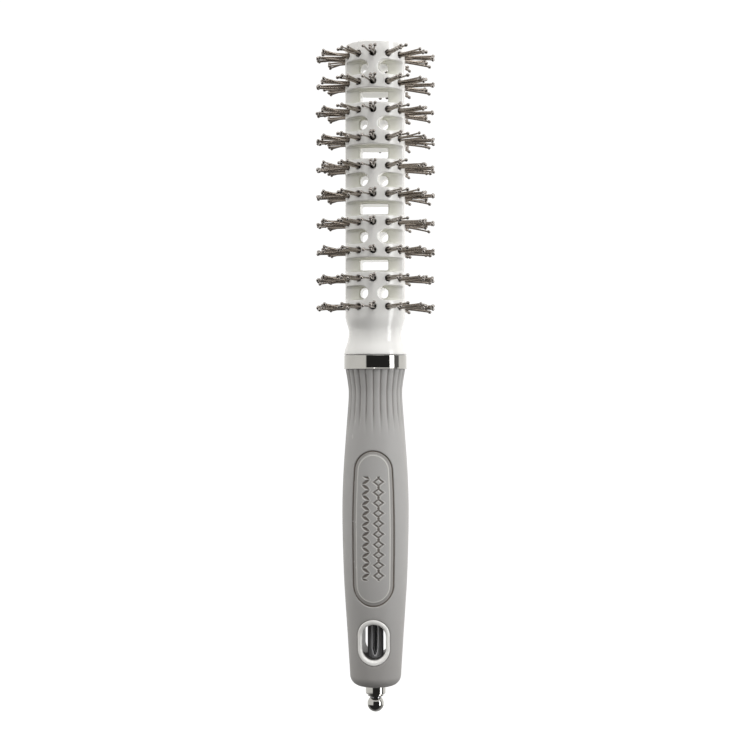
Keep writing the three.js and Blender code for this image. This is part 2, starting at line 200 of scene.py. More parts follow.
def rounded_box(a, b, half_a, half_b, corner):
    """The distance from a rounded rectangle in the plane of a and b."""
    over_a = np.abs(a) - half_a + corner
    over_b = np.abs(b) - half_b + corner
    outside = np.hypot(np.maximum(over_a, 0), np.maximum(over_b, 0))
    return outside + np.minimum(np.maximum(over_a, over_b), 0) - corner


def racetrack(x, z, half_width, half_height, middle):
    """The distance from an upright slot with round ends."""
    beyond = np.maximum(np.abs(z - middle) - (half_height - half_width), 0)
    return np.hypot(x, beyond) - half_width


def cubic(points, steps):
    """Points on a cubic Bezier curve."""
    t = np.linspace(0, 1, steps)[:, None]
    a, b, c, d = (np.array(p, float) for p in points)
    return (1 - t) ** 3 * a + 3 * t * (1 - t) ** 2 * b + 3 * t * t * (1 - t) * c + t**3 * d


def spline(points, steps):
    """Points on the curve that passes evenly through the given ones."""
    p = np.array(points, float)
    before, after = np.vstack((p[:1], p[:-1])), np.vstack((p[1:], p[-1:]))
    slope = (after - before) / 2
    curve = []
    for i in range(len(p) - 1):
        ends = [p[i], p[i] + slope[i] / 3, p[i + 1] - slope[i + 1] / 3, p[i + 1]]
        curve.extend(cubic(ends, steps)[:-1])
    return np.array([*curve, p[-1]])


def neck_outline():
    """(radius, z) from the band up to the barrel."""
    waist = (NECK["waist"], NECK["waist_z"])
    flare = [
        (NECK["foot"], NECK_BOTTOM),
        (NECK["foot"] - NECK_FLARE["inward"], NECK_BOTTOM + NECK_FLARE["rise"]),
        (NECK["waist"], NECK["waist_z"] - NECK_FLARE["drop"]),
        waist,
    ]
    shoulder = [
        waist,
        (NECK["waist"], NECK["waist_z"] + NECK_SHOULDER["rise"]),
        (BARREL_RADIUS - NECK_SHOULDER["inward"], NECK["shoulder_z"] - NECK_SHOULDER["drop"]),
        (BARREL_RADIUS, NECK["shoulder_z"]),
    ]
    return np.vstack((cubic(flare, 40), cubic(shoulder, 40)[1:]))


NECK_OUTLINE = neck_outline()
GRIP_OUTLINE = spline(GRIP_POINTS, 24)[::-1]


def grip_radius(z):
    """The radius of the grip's long side, before its lower end rounds off."""
    return np.interp(z, GRIP_OUTLINE[:, 1], GRIP_OUTLINE[:, 0])


def grip_body(x, y, z, inset):
    """The grip as a solid, moved inwards, with its rounded lower end."""
    r = np.hypot(x, y)
    round_height = GRIP_ROUND_Z - GRIP_BOTTOM
    reach = grip_radius(z) - GRIP_END_RADIUS
    down = np.maximum(GRIP_ROUND_Z - z, 0) / round_height
    out = np.maximum(r - GRIP_END_RADIUS, 0) / reach
    side = r - grip_radius(z)
    end = (np.hypot(down, out) - 1) * round_height
    return np.where(z < GRIP_ROUND_Z, end, side) + inset


def vents(x, y, z):
    """The openings between the rows: a pocket front and back, and a slot through the web."""
    gap = np.clip(np.round((z - VENT_Z[0]) / VENT_PITCH), 0, ROW_COUNT - 2)
    up = z - (VENT_Z[0] + gap * VENT_PITCH)
    ribbed = gap % 2 == 0
    outside_web = WEB["arc"] - np.hypot(x, np.abs(y) + WEB["arc"] - WEB["half"])
    far = 2 * BARREL_RADIUS
    beside_rib = np.abs(x) - (RIB_HALF + far / 2)
    opening = np.where(
        ribbed,
        rounded_box(beside_rib, up, far / 2, VENT_HALF, VENT_HALF - ROUND_END),
        np.abs(up) - VENT_HALF,
    )
    pocket = smooth_max(opening, outside_web, SOFT_EDGE)
    width = (SLOT["half_width"] - SLOT["rib_half"]) / 2
    beside = np.abs(x) - (SLOT["rib_half"] + width)
    slot = np.where(
        ribbed,
        rounded_box(beside, up, width, SLOT["half_height"], width - ROUND_END),
        rounded_box(x, up, SLOT["half_width"], SLOT["half_height"], SLOT["corner"]),
    )
    return smooth_min(pocket, slot, MOULDED_EDGE)


def tuft_holes(x, y, z):
    """The bristles' round holes in the rings."""
    row = np.clip(np.round((z - ROW_Z[0]) / ROW_PITCH), 0, ROW_COUNT - 1)
    up = z - (ROW_Z[0] + row * ROW_PITCH)
    step = 2 * math.pi / TUFTS
    turn = (np.arctan2(x, -y) + step / 2) % step - step / 2
    radius = np.hypot(x, y)
    hole = np.hypot(radius * np.sin(turn), up) - TUFT_HOLE["radius"]
    return smooth_max(hole, TUFT_HOLE["floor"] - radius * np.cos(turn), FINE_EDGE)


def barrel_field(x, y, z):
    """The barrel with its neck, and the spigot that goes into the handle."""
    radius = np.hypot(x, y)
    side = radius - np.interp(z, NECK_OUTLINE[:, 1], NECK_OUTLINE[:, 0])
    body = smooth_max(side, z - BARREL_TOP, CRISP_EDGE)
    body = smooth_max(body, NECK_BOTTOM - z, FINE_EDGE)
    body = smooth_max(body, -vents(x, y, z), FINE_EDGE)
    body = smooth_max(body, -tuft_holes(x, y, z), FINE_EDGE)
    ends = np.maximum(BARREL_BOX[0][2] - z, z - NECK_BOTTOM - SPIGOT_OVERLAP)
    return np.minimum(body, np.maximum(radius - SPIGOT_RADIUS, ends))


def core_field(x, y, z):
    """The white core of the handle, with the rim of the window that shows through the grip."""
    radius = np.hypot(x, y)
    inset = GRIP_WALL + GAP
    body = np.maximum(grip_body(x, y, z, inset), z - GRIP_BOX[1][2])
    boss = racetrack(x, z, RIM["half_width"], RIM["half_height"], RIM["middle"])
    rim = smooth_max(boss, grip_body(x, y, z, -RIM["proud"]), FINE_EDGE)
    nose = np.maximum(radius - (GRIP_END_RADIUS - GRIP_WALL - GAP), np.maximum(GRIP_BOTTOM - z, z))
    solid = np.minimum(np.minimum(body, rim), nose)
    hole = racetrack(x, z, WINDOW["half_width"], WINDOW["half_height"], WINDOW["middle"])
    solid = smooth_max(solid, -hole, SOFT_EDGE)
    bore = np.maximum(radius - PICK_BORE["radius"], z - PICK_BORE["top"])
    socket = np.maximum(radius - SPIGOT_RADIUS - GAP, BARREL_BOX[0][2] - GAP - z)
    return smooth_max(solid, -np.minimum(bore, socket), FINE_EDGE)


def tube_field(x, y, z):
    """The pick's guide tube, slit down its front from its upper end to a point."""
    radius = np.hypot(x, y)
    inner, outer = TUBE_RADII
    narrowing = (SLIT["point"] - z) / (SLIT["square"] - SLIT["point"])
    half = SLIT["half_width"] * np.sqrt(np.clip(-narrowing, 0, 1))
    slit = np.maximum(np.abs(x) - half, SLIT["point"] - z)
    lean = math.atan2(SLIT["bevel_depth"], SLIT["bevel"])
    beyond = (np.abs(x) - half) * math.sin(lean)
    bevel = beyond - (radius - outer + SLIT["bevel_depth"]) * math.cos(lean)
    bevel = np.maximum(bevel, SLIT["point"] - SLIT["bevel"] - z)
    cut = np.maximum(np.minimum(slit, bevel), y)
    wall = smooth_max(radius - outer, -cut, TUBE_EDGE)
    wall = smooth_max(wall, inner - radius, TUBE_EDGE)
    return np.maximum(wall, np.maximum(TUBE_BOX[0][2] - z, z - TUBE_BOX[1][2]))


# ---- Meshes ----

def surface(field, low, high, step):
    """Vertices and quads of the surface where a field is zero.

    There is one vertex in each grid cell that the surface crosses.
    """
    axes = [np.arange(a, b + step, step) for a, b in zip(low, high)]
    values = field(*np.meshgrid(*axes, indexing="ij", sparse=True)).astype(np.float32)
    inside = values < 0
    cells = tuple(n - 1 for n in values.shape)
    corners = [(i, j, k) for i in (0, 1) for j in (0, 1) for k in (0, 1)]
    count = np.zeros(cells, np.int8)
    for corner in corners:
        count += inside[tuple(slice(c, c + n) for c, n in zip(corner, cells))]
    crossed = np.argwhere((count > 0) & (count < len(corners)))
    number = np.full(cells, -1, np.int32)
    number[tuple(crossed.T)] = np.arange(len(crossed))
    total, hits = np.zeros((len(crossed), 3)), np.zeros(len(crossed))
    unit = np.eye(3, dtype=int)
    for axis in range(3):
        for corner in corners:
            if corner[axis]:
                continue
            start = crossed + corner
            a, b = values[tuple(start.T)], values[tuple((start + unit[axis]).T)]
            cut = (a < 0) != (b < 0)
            share = a[cut] / (a[cut] - b[cut])
            total[cut] += np.array(corner) + share[:, None] * unit[axis]
            hits[cut] += 1
    vertices = np.array(low) + (crossed + total / hits[:, None]) * step
    quads = []
    for axis in range(3):
        u, v = unit[(axis + 1) % 3], unit[(axis + 2) % 3]
        here = inside[tuple(slice(0, n - e) for n, e in zip(values.shape, unit[axis]))]
        there = inside[tuple(slice(e, n) for n, e in zip(values.shape, unit[axis]))]
        edge = np.argwhere(here != there)
        edge = edge[(edge @ u > 0) & (edge @ v > 0) & (edge < cells).all(1)]
        ring = [number[tuple((edge - shift).T)] for shift in (0 * u, u, u + v, v)]
        outward = here[tuple(edge.T)]
        ring = np.stack(ring, 1)
        quads.append(np.where(outward[:, None], ring, ring[:, ::-1]))
    return settle(field, vertices, step), np.vstack(quads)


def slope_of(field, points):
    """The direction in which a field grows, at each point."""
    near = 0.02
    slope = np.empty_like(points)
    for axis in range(3):
        shift = np.zeros(3)
        shift[axis] = near
        slope[:, axis] = (field(*(points + shift).T) - field(*(points - shift).T)) / (2 * near)
    return slope


def settle(field, points, reach):
    """Points moved onto the surface, each by no more than the reach."""
    for _ in range(3):
        slope = slope_of(field, points)
        move = slope * (field(*points.T) / np.maximum((slope * slope).sum(1), 0.05))[:, None]
        length = np.linalg.norm(move, axis=1, keepdims=True)
        points = points - move * np.minimum(1, reach / 2 / np.maximum(length, 1e-9))
    return points


def revolve(outline, sides):
    """Vertices and faces of an outline of (radius, z) turned about Z.

    The outline starts and ends on the axis, or closes.
    """
    turns = np.linspace(0, 2 * math.pi, sides, endpoint=False)
    closed = np.allclose(outline[0], outline[-1])
    points = outline[:-1] if closed else outline
    vertices, rings = [], []
    for radius, z in points:
        first = len(vertices)
        if radius < 1e-6:
            vertices.append((0, 0, z))
            rings.append([first] * sides)
        else:
            vertices.extend((radius * math.sin(t), -radius * math.cos(t), z) for t in turns)
            rings.append(list(range(first, first + sides)))
    faces = []
    for low, high in zip(rings, rings[1:] + rings[:1] if closed else rings[1:]):
        for i in range(sides):
            j = (i + 1) % sides
            corners = [low[i], low[j], high[j], high[i]]
            faces.append(list(dict.fromkeys(corners)))
    return np.array(vertices), faces


def eased(corners, steps):
    """An outline through (radius, z, easing) corners, each rounded by its easing."""
    points = []
    for i, (r, z, ease) in enumerate(corners):
        here = np.array((r, z), float)
        if not ease:
            points.append(here)
            continue
        before = np.array(corners[i - 1][:2], float) - here
        after = np.array(corners[(i + 1) % len(corners)][:2], float) - here
        start = here + ease * before / np.linalg.norm(before)
        end = here + ease * after / np.linalg.norm(after)
        for t in np.linspace(0, 1, steps):
            points.append((1 - t) ** 2 * start + 2 * t * (1 - t) * here + t * t * end)
    return points


def add_object(name, data):
    made = bpy.data.objects.new(name, data)
    bpy.context.scene.collection.objects.link(made)
    return made


def new_object(name, vertices, faces, *looks, sharp=35):
    """An object from millimetres, smooth except where faces meet at more than the sharp angle."""
    mesh = bpy.data.meshes.new(name)
    corners = [list(map(int, face)) for face in faces]
    mesh.from_pydata((np.asarray(vertices) * MM).tolist(), [], corners)
    for look in looks:
        mesh.materials.append(look)
    mesh.shade_smooth()
    mesh.set_sharp_from_angle(angle=math.radians(sharp))
    return add_object(name, mesh)


def apply_modifiers(piece):
    """Puts what an object's modifiers make in place of its mesh."""
    evaluated = piece.evaluated_get(bpy.context.evaluated_depsgraph_get())
    mesh = bpy.data.meshes.new_from_object(evaluated)
    piece.modifiers.clear()
    old, piece.data = piece.data, mesh
    bpy.data.meshes.remove(old)
    mesh.name = piece.name


def vertices_of(piece):
    """Where an object's vertices are, in millimetres."""
    points = np.empty(len(piece.data.vertices) * 3)
    piece.data.vertices.foreach_get("co", points)
    return points.reshape(-1, 3) / MM


def thin_out(piece, triangles):
    """Joins faces where the surface is flattest, down to a number of triangles."""
    sides = [len(p.vertices) - 2 for p in piece.data.polygons]
    modifier = piece.modifiers.new("thin_out", "DECIMATE")
    modifier.ratio = min(1.0, triangles / sum(sides))
    apply_modifiers(piece)


def shade_by_field(piece, field):
    """Takes normals from the field, so that a thinned mesh still shades as the true surface."""
    slope = slope_of(field, vertices_of(piece))
    slope /= np.maximum(np.linalg.norm(slope, axis=1, keepdims=True), 1e-9)
    piece.data.shade_smooth()
    piece.data.normals_split_custom_set_from_vertices(slope.tolist())


def store(piece, name, values):
    """Gives the material a value for each vertex."""
    attribute = piece.data.attributes.new(name, "FLOAT", "POINT")
    attribute.data.foreach_set("value", np.asarray(values, np.float32))


def moulded(name, field, reach, heights, look, step, margin, triangles=None):
    """An object from a field, sampled round Z with a margin, and thinned if it has a limit."""
    reach += margin
    low, high = (-reach, -reach, heights[0] - margin), (reach, reach, heights[1] + margin)
    piece = new_object(name, *surface(field, low, high, step), look)
    if triangles:
        thin_out(piece, triangles)
    shade_by_field(piece, field)
    return piece


def turned(name, outline, sides, look):
    """An object from an outline of (radius, z) turned about Z."""
    return new_object(name, *revolve(outline, sides), look, sharp=50)


def turned_ring(name, corners, sides, look):
    """A turned object from the (radius, z, easing) corners of its section."""
    outline = eased(corners, 5)
    return turned(name, [*outline, outline[0]], sides, look)


def belongs(piece, body, slot, *nodes):
    """The piece rides on a body and stands for the CAD nodes. The slot is not used."""
    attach(piece, body)
    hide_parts(*nodes)


# ---- Materials ----

class Graph:
    """Adds nodes to a tree, with their inputs given as values or as other nodes' outputs."""

    def __init__(self, tree):
        self.tree = tree
        self.shader = tree.nodes.get("Principled BSDF")

    def node(self, kind, inputs=None, **settings):
        made = self.tree.nodes.new(kind)
        for name, value in settings.items():
            setattr(made, name, value)
        for name, value in (inputs or {}).items():
            if isinstance(value, bpy.types.NodeSocket):
                self.tree.links.new(value, made.inputs[name])
            else:
                made.inputs[name].default_value = value
        return made

    def math(self, operation, a, b):
        return self.node("ShaderNodeMath", {0: a, 1: b}, operation=operation).outputs[0]

    def attribute(self, name):
        """A value that store() gave each vertex."""
        return self.node("ShaderNodeAttribute", attribute_name=name).outputs["Fac"]

    def pointiness(self):
        """Over a half on convex edges, and under a half in hollows."""
        return self.node("ShaderNodeNewGeometry").outputs["Pointiness"]

    def remap(self, value, low, high, new_low, new_high):
        """The value's range from low to high turned into the new range, with eased ends."""
        given = {"Value": value, "From Min": low, "From Max": high}
        given |= {"To Min": new_low, "To Max": new_high}
        made = self.node("ShaderNodeMapRange", given, interpolation_type="SMOOTHSTEP")
        return made.outputs["Result"]

    def noise(self, scale, detail=3.0, roughness=0.55, stretch=(1, 1, 1)):
        """Noise with the given number of features per metre."""
        place = self.node("ShaderNodeTexCoord").outputs["Object"]
        placed = self.node("ShaderNodeMapping", {"Vector": place, "Scale": stretch})
        given = {"Scale": scale, "Detail": detail, "Roughness": roughness}
        made = self.node("ShaderNodeTexNoise", given | {"Vector": placed.outputs[0]})
        return made.outputs["Fac"]

    def mix(self, factor, a, b):
        made = self.node(
            "ShaderNodeMix", {"Factor": factor, "A": a, "B": b}, data_type="RGBA", clamp_factor=True
        )
        return made.outputs["Result"]

    def feed(self, socket, value):
        """Links a value to one of the principled shader's sockets."""
        self.tree.links.new(value, self.shader.inputs[socket])

    def bump(self, height, distance, strength):
        """Fine relief from a height of 0 to 1, which stands for a distance in millimetres."""
        made = self.node(
            "ShaderNodeBump", {"Height": height, "Distance": distance * MM, "Strength": strength}
        )
        self.feed("Normal", made.outputs["Normal"])


def colour(red, green, blue):
    return (red, green, blue, 1.0)


def material(name, sockets):
    """A principled material and its graph. The sockets' values are even all over."""
    made = bpy.data.materials.new(name)
    made.use_nodes = True
    graph = Graph(made.node_tree)
    for socket, value in sockets.items():
        graph.shader.inputs[socket].default_value = value
    return made, graph


def white_plastic():
    """Glossy warm white plastic, with faint flow marks, painted shade in hollows, in the vents and
    inside the window, and rubbed edges.
    """
    even = {"IOR": 1.5, "Coat Weight": 0.25, "Coat Roughness": 0.04}
    made, graph = material("white_plastic", even)
    tone = graph.mix(graph.noise(55, 4), colour(0.855, 0.847, 0.82), colour(0.89, 0.883, 0.86))
    # Painted shade: hollows are darkened towards a warm grey.
    hollow_shade = graph.remap(graph.pointiness(), 0.40, 0.495, 0.35, 0.0)
    tone = graph.mix(hollow_shade, tone, colour(0.66, 0.63, 0.55))
    edge = graph.remap(graph.pointiness(), 0.53, 0.62, 0.0, 1.0)
    tone = graph.mix(edge, tone, colour(0.88, 0.875, 0.85))
    # Painted shade on the vents' walls, a greenish grey.
    tone = graph.mix(graph.attribute("painted_vent_shade"), tone, colour(0.80, 0.795, 0.72))
    # Painted shade: the window's inner walls are painted near-black.
    inside = graph.attribute("inside")
    graph.feed("Base Color", graph.mix(inside, tone, colour(0.06, 0.058, 0.055)))
    smears = graph.noise(130, 5, 0.6, (1, 1, 0.35))
    gloss = graph.remap(smears, 0.3, 0.75, 0.10, 0.2)
    dull = graph.math("MULTIPLY", inside, 0.95)
    graph.feed("Roughness", graph.math("MAXIMUM", gloss, dull))
    fine = graph.noise(2600, 2)
    broad = graph.noise(120, 3)
    graph.bump(graph.math("ADD", graph.math("MULTIPLY", fine, 0.12), broad), 0.03, 0.3)
    return made


def soft_touch():
    """Matt rubber-like warm grey with a fine grain, painted shade in its grooves and towards its
    lower end, a painted highlight on its raised marks, and pale worn edges.
    """
    even = {"IOR": 1.45, "Sheen Weight": 0.12, "Sheen Roughness": 0.5}
    made, graph = material("soft_touch", even)
    mottle = graph.noise(70, 5, 0.65)
    tone = graph.mix(mottle, colour(0.375, 0.368, 0.36), colour(0.43, 0.422, 0.413))
    place = graph.node("ShaderNodeTexCoord").outputs["Object"]
    height = graph.node("ShaderNodeSeparateXYZ", {0: place}).outputs["Z"]
    painted_low_shade = graph.remap(height, -0.062, -0.012, 0.55, 0.0)  # painted shade, darker towards the bottom
    tone = graph.mix(painted_low_shade, tone, colour(0.285, 0.27, 0.258))
    cavity = graph.attribute("cavity")
    # Painted shade in the grooves, nearly black-brown.
    painted_groove_shade = graph.remap(cavity, 0.08, 0.75, 0.0, 0.85)
    tone = graph.mix(painted_groove_shade, tone, colour(0.085, 0.062, 0.042))
    # Painted highlight: the raised bead and burrs are painted pale.
    raised = graph.remap(cavity, -0.02, -0.12, 0.0, 0.9)
    tone = graph.mix(raised, tone, colour(0.66, 0.65, 0.61))
    edge = graph.remap(graph.pointiness(), 0.515, 0.56, 0.0, 1.0)
    worn = graph.math("MULTIPLY", edge, graph.remap(mottle, 0.35, 0.7, 0.2, 1.0))
    graph.feed("Base Color", graph.mix(worn, tone, colour(0.52, 0.512, 0.50)))
    graph.feed("Roughness", graph.remap(graph.noise(160, 4), 0.3, 0.7, 0.50, 0.64))
    grain = graph.noise(4200, 2, 0.7)
    wavy = graph.noise(900, 3, 0.6)
    graph.bump(graph.math("ADD", grain, graph.math("MULTIPLY", wavy, 0.5)), 0.012, 0.6)
    return made


# Darkest and lightest colour, roughness, and how the scratches' grain is stretched.
METALS = {
    "chrome": ((0.41, 0.405, 0.385), (0.47, 0.463, 0.44), 0.05, (1, 1, 0.08)),
    "dark_chrome": ((0.25, 0.25, 0.26), (0.33, 0.33, 0.34), 0.16, (1, 1, 0.05)),
    "spring_steel": ((0.45, 0.45, 0.45), (0.56, 0.55, 0.54), 0.25, (1, 1, 1)),
}


def polished_metal(name, low, high, roughness, scratch_stretch):
    """Plated metal: a hint of haze, fine scratches along one way, and slightly duller patches."""
    made, graph = material(name, {"Metallic": 1.0, "IOR": 1.5})
    haze = graph.noise(240, 4, 0.6)
    graph.feed("Base Color", graph.mix(haze, colour(*low), colour(*high)))
    scratches = graph.noise(2200, 5, 0.7, scratch_stretch)
    lines = graph.remap(scratches, 0.52, 0.72, 0.0, roughness)
    dulled = graph.remap(haze, 0.3, 0.7, roughness * 0.7, roughness * 1.4)
    graph.feed("Roughness", graph.math("ADD", dulled, lines))
    graph.bump(scratches, 0.004, 0.12)
    return made


def satin_tube():
    """Dark satin plating, with a painted highlight (near-white, not metallic) on the slit's bevels
    and painted shade (near-black) in the bore.
    """
    made, graph = material("satin_dark_chrome", {"IOR": 1.5})
    haze = graph.noise(300, 4, 0.6)
    plating = graph.mix(haze, colour(0.36, 0.36, 0.365), colour(0.42, 0.42, 0.43))
    painted_slit_lighting = graph.attribute("painted_slit_lighting")
    # Painted highlight: the slit's bevels are painted near-white.
    bevel_highlit = graph.mix(graph.remap(painted_slit_lighting, 0.0, 1.0, 0.0, 1.0), plating, colour(0.95, 0.95, 0.97))
    # Painted shade: the bore is painted near-black.
    bore = graph.remap(painted_slit_lighting, -1.0, 0.0, 1.0, 0.0)
    graph.feed("Base Color", graph.mix(bore, bevel_highlit, colour(0.02, 0.014, 0.01)))
    graph.feed("Metallic", graph.remap(painted_slit_lighting, 0.0, 1.0, 0.25, 0.0))
    graph.feed("Roughness", graph.remap(haze, 0.3, 0.7, 0.36, 0.44))
    graph.bump(graph.noise(2600, 3, 0.6, (1, 1, 0.2)), 0.004, 0.15)
    return made


def bristle_nylon():
    """Bronze-tinted nylon, with painted shade towards the root and fine streaks along each bristle.
    """
    even = {"IOR": 1.53, "Metallic": 0.75, "Coat Weight": 0.2}
    made, graph = material("bristle_nylon", even)
    streaks = graph.noise(260, 2, 0.5)
    tone = graph.mix(streaks, colour(0.26, 0.215, 0.175), colour(0.34, 0.30, 0.26))
    # Painted shade near the root, where the bristles stand in their holes.
    shaded = graph.remap(graph.attribute("along"), 0.12, 0.4, 0.8, 0.0)
    graph.feed("Base Color", graph.mix(shaded, tone, colour(0.05, 0.035, 0.025)))
    graph.feed("Roughness", graph.remap(streaks, 0.3, 0.7, 0.2, 0.28))
    graph.bump(streaks, 0.004, 0.1)
    return made


def bristle_tip():
    """The rounded bead on each bristle: the same nylon, polished."""
    even = {"IOR": 1.6, "Metallic": 1.0, "Coat Weight": 0.3, "Coat Roughness": 0.05}
    made, graph = material("bristle_tip", even)
    spots = graph.noise(400, 2)
    tone = graph.mix(spots, colour(0.30, 0.27, 0.245), colour(0.40, 0.37, 0.345))
    graph.feed("Base Color", tone)
    graph.feed("Roughness", graph.remap(spots, 0.3, 0.7, 0.05, 0.1))
    graph.bump(spots, 0.004, 0.1)
    return made


# ---- Pieces ----

def make_barrel(look):
    heights = (BARREL_BOX[0][2], BARREL_TOP)
    piece = moulded("barrel_fine", barrel_field, BAND_RADIUS, heights, look, **BARREL_GRID)
    x, y, z = vertices_of(piece).T
    # Painted shade on the vents' walls, deeper under the skin and above the neck.
    vent_shade = smooth_step(*VENT_SHADE_DEPTHS, BARREL_RADIUS - np.hypot(x, y))
    store(piece, "painted_vent_shade", vent_shade * smooth_step(*VENT_SHADE_HEIGHTS, z))
    belongs(piece, "brush", "white_plastic", "barrel")


def make_end_cap(look):
    bottom, top, radius = CAP_BOX[0][2], CAP_BOX[1][2], CAP_BOX[1][0]
    plug, foot_z = END_CAP["plug"], BARREL_TOP - HAIRLINE
    dome = [
        (radius * math.cos(t), BARREL_TOP + (top - BARREL_TOP) * math.sin(t) ** END_CAP["fullness"])
        for t in np.linspace(0.06, math.pi / 2, 28)
    ]
    dome[-1] = (0, top)
    foot = eased([(0, bottom, 0), (plug, bottom, 0.3), (plug, foot_z, 0.1)], 6)
    rim = (radius - END_CAP["rim_inset"], foot_z)
    piece = turned("barrel_end_cap_fine", [*foot, rim, *dome], 96, look)
    belongs(piece, "brush", "white_plastic", "barrel_end_cap")


def make_band(look):
    inner, top = SPIGOT_RADIUS + GAP, NECK_BOTTOM - HAIRLINE
    face = BAND_RADIUS - BAND_LIP["proud"]
    corners = [
        (inner, GRIP_TOP, 0.2), (BAND_RADIUS - BAND_LIP["chamfer"], GRIP_TOP, 0.06),
        (BAND_RADIUS, GRIP_TOP + BAND_LIP["low"], 0.03),
        (BAND_RADIUS, GRIP_TOP + BAND_LIP["high"], 0.03),
        (face, GRIP_TOP + BAND_LIP["end"], 0.04), (face, top, 0.2), (inner, top, 0.2),
    ]
    piece = turned_ring("neck_band_fine", corners, 160, look)
    belongs(piece, "brush", "chrome", "neck_band")


def heading(angle):
    return np.array((math.cos(angle), math.sin(angle)))


def bristle(rng, turn, z, root, tip):
    """A tapered, slightly bent shaft that ends in a bead.

    Returns its rings of points with its end point last, and how far out each point is, from 0 to 1.
    """
    foot = BRISTLES["foot"]
    bend = rng.uniform(*VARIETY["bend"], 2)
    reach = BRISTLES["tip_radius"] * rng.uniform(*VARIETY["reach"])
    ball = BRISTLES["ball"] * rng.uniform(*VARIETY["ball"])
    shaft = BRISTLES["radius"] * rng.uniform(*VARIETY["radius"])
    out = np.array((math.sin(turn), -math.cos(turn), 0))
    across = np.array((math.cos(turn), math.sin(turn), 0))
    up = np.array((0, 0, 1.0))
    ball_back = (reach - 2 * ball - foot) / (reach - foot)
    taper = [(t, TAPER["root"] - TAPER["loss"] * t) for t in (*SHAFT_STOPS, ball_back)]
    stops = [(t, shaft * share) for t, share in taper]
    for angle in np.linspace(0.5, math.pi, 8)[:-1]:
        share = (1 - math.cos(angle)) / 2
        stops.append((ball_back + (1 - ball_back) * share, ball * math.sin(angle)))
    points = []
    for t, radius in stops:
        drift = root + (tip - root) * t**1.5 + bend * math.sin(math.pi * t)
        middle = out * (foot + (reach - foot) * t) + across * drift[0] + up * (z + drift[1])
        for side in range(BRISTLE_SIDES):
            a = 2 * math.pi * side / BRISTLE_SIDES
            points.append(middle + radius * (across * math.cos(a) + up * math.sin(a)))
    points.append(out * reach + across * tip[0] + up * (z + tip[1]))
    return points, [t for t, _ in stops for _ in range(BRISTLE_SIDES)] + [1.0]


def bristle_faces(first, rings):
    """The faces of a bristle whose points start at an index, and which of them are on its bead."""
    sides = [(side, (side + 1) % BRISTLE_SIDES) for side in range(BRISTLE_SIDES)]
    faces, on_bead = [], []
    for ring in range(rings - 1):
        start = first + ring * BRISTLE_SIDES
        for side, beside in sides:
            a, b = start + side, start + beside
            faces.append((a, b, b + BRISTLE_SIDES, a + BRISTLE_SIDES))
            on_bead.append(ring >= len(SHAFT_STOPS))
    last = first + (rings - 1) * BRISTLE_SIDES
    for side, beside in sides:
        faces.append((last + side, last + beside, last + BRISTLE_SIDES))
        on_bead.append(True)
    faces.append(tuple(first + side for side in reversed(range(BRISTLE_SIDES))))
    on_bead.append(False)
    return faces, on_bead


def make_tuft_row(row, rng, shaft_look, tip_look):
    vertices, along, faces, on_bead = [], [], [], []
    for tuft, swing in enumerate(SWINGS):
        turn = 2 * math.pi * tuft / TUFTS
        for i, (lean, way) in enumerate(LEANS):
            tip_way = way + swing + rng.uniform(*VARIETY["way"])
            root_way = swing + LEANS[0][1] + 2 * math.pi * i / len(LEANS)
            tip = lean * rng.uniform(*VARIETY["lean"]) * heading(tip_way)
            root = BRISTLES["root"] * heading(root_way)
            points, shares = bristle(rng, turn, ROW_Z[row], root, tip)
            made = bristle_faces(len(vertices), len(points) // BRISTLE_SIDES)
            vertices.extend(points)
            along.extend(shares)
            faces.extend(made[0])
            on_bead.extend(made[1])
    name = f"bristles_row_{row + 1:02d}"
    piece = new_object(name, np.array(vertices), faces, shaft_look, tip_look, sharp=80)
    piece.data.polygons.foreach_set("material_index", np.array(on_bead, np.int32))
    store(piece, "along", along)
    belongs(piece, "brush", "bristle_nylon", ROW_NODES[row])


def lozenge(x, z, half_width, half_height):
    reach = math.hypot(half_width, half_height)
    return (np.abs(x) * half_height + np.abs(z) * half_width - half_width * half_height) / reach


def leaf(x, z, tilt, half_length, bulge):
    """A pointed oval, tilted."""
    along = x * math.cos(tilt) + z * math.sin(tilt)
    across = z * math.cos(tilt) - x * math.sin(tilt)
    arc = (half_length**2 + bulge**2) / (2 * bulge)
    return np.hypot(along, np.abs(across) + arc - bulge) - arc


def mark_depth(x, z):
    """The pressed ornament of the badge: a chain of lozenges and dots beside a sprig of leaves."""
    pitch = (MARKS["top"] - MARKS["bottom"]) / MARKS["links"]
    half = pitch / 2
    up = z - MARKS["bottom"]
    link_z = (up + half) % pitch - half
    chain = np.abs(lozenge(x - CHAIN["x"], link_z, CHAIN["half_width"], CHAIN["half_height"]))
    dots = np.hypot(x - CHAIN["x"], up % pitch - half) - CHAIN["dot"]
    leaf_z = (up + half / 2) % half - half / 2
    flip = np.where(np.floor((up + half / 2) / half) % 2 == 0, 1.0, -1.0)
    leaf_x = (x - SPRIG["x"]) * flip
    sprig = leaf(leaf_x, leaf_z, SPRIG["tilt"], SPRIG["half_length"], SPRIG["bulge"])
    pressed = np.minimum(np.minimum(chain - MARKS["stroke"], dots), sprig)
    within = (z < MARKS["top"] + half) & (z > MARKS["bottom"] - half)
    floor = smooth_step(MARKS["edge"], -MARKS["edge"], pressed) * MARKS["depth"]
    burr = BURR["height"] * hump(pressed - BURR["away"], BURR["width"])
    return np.where(within, floor - burr, 0.0)


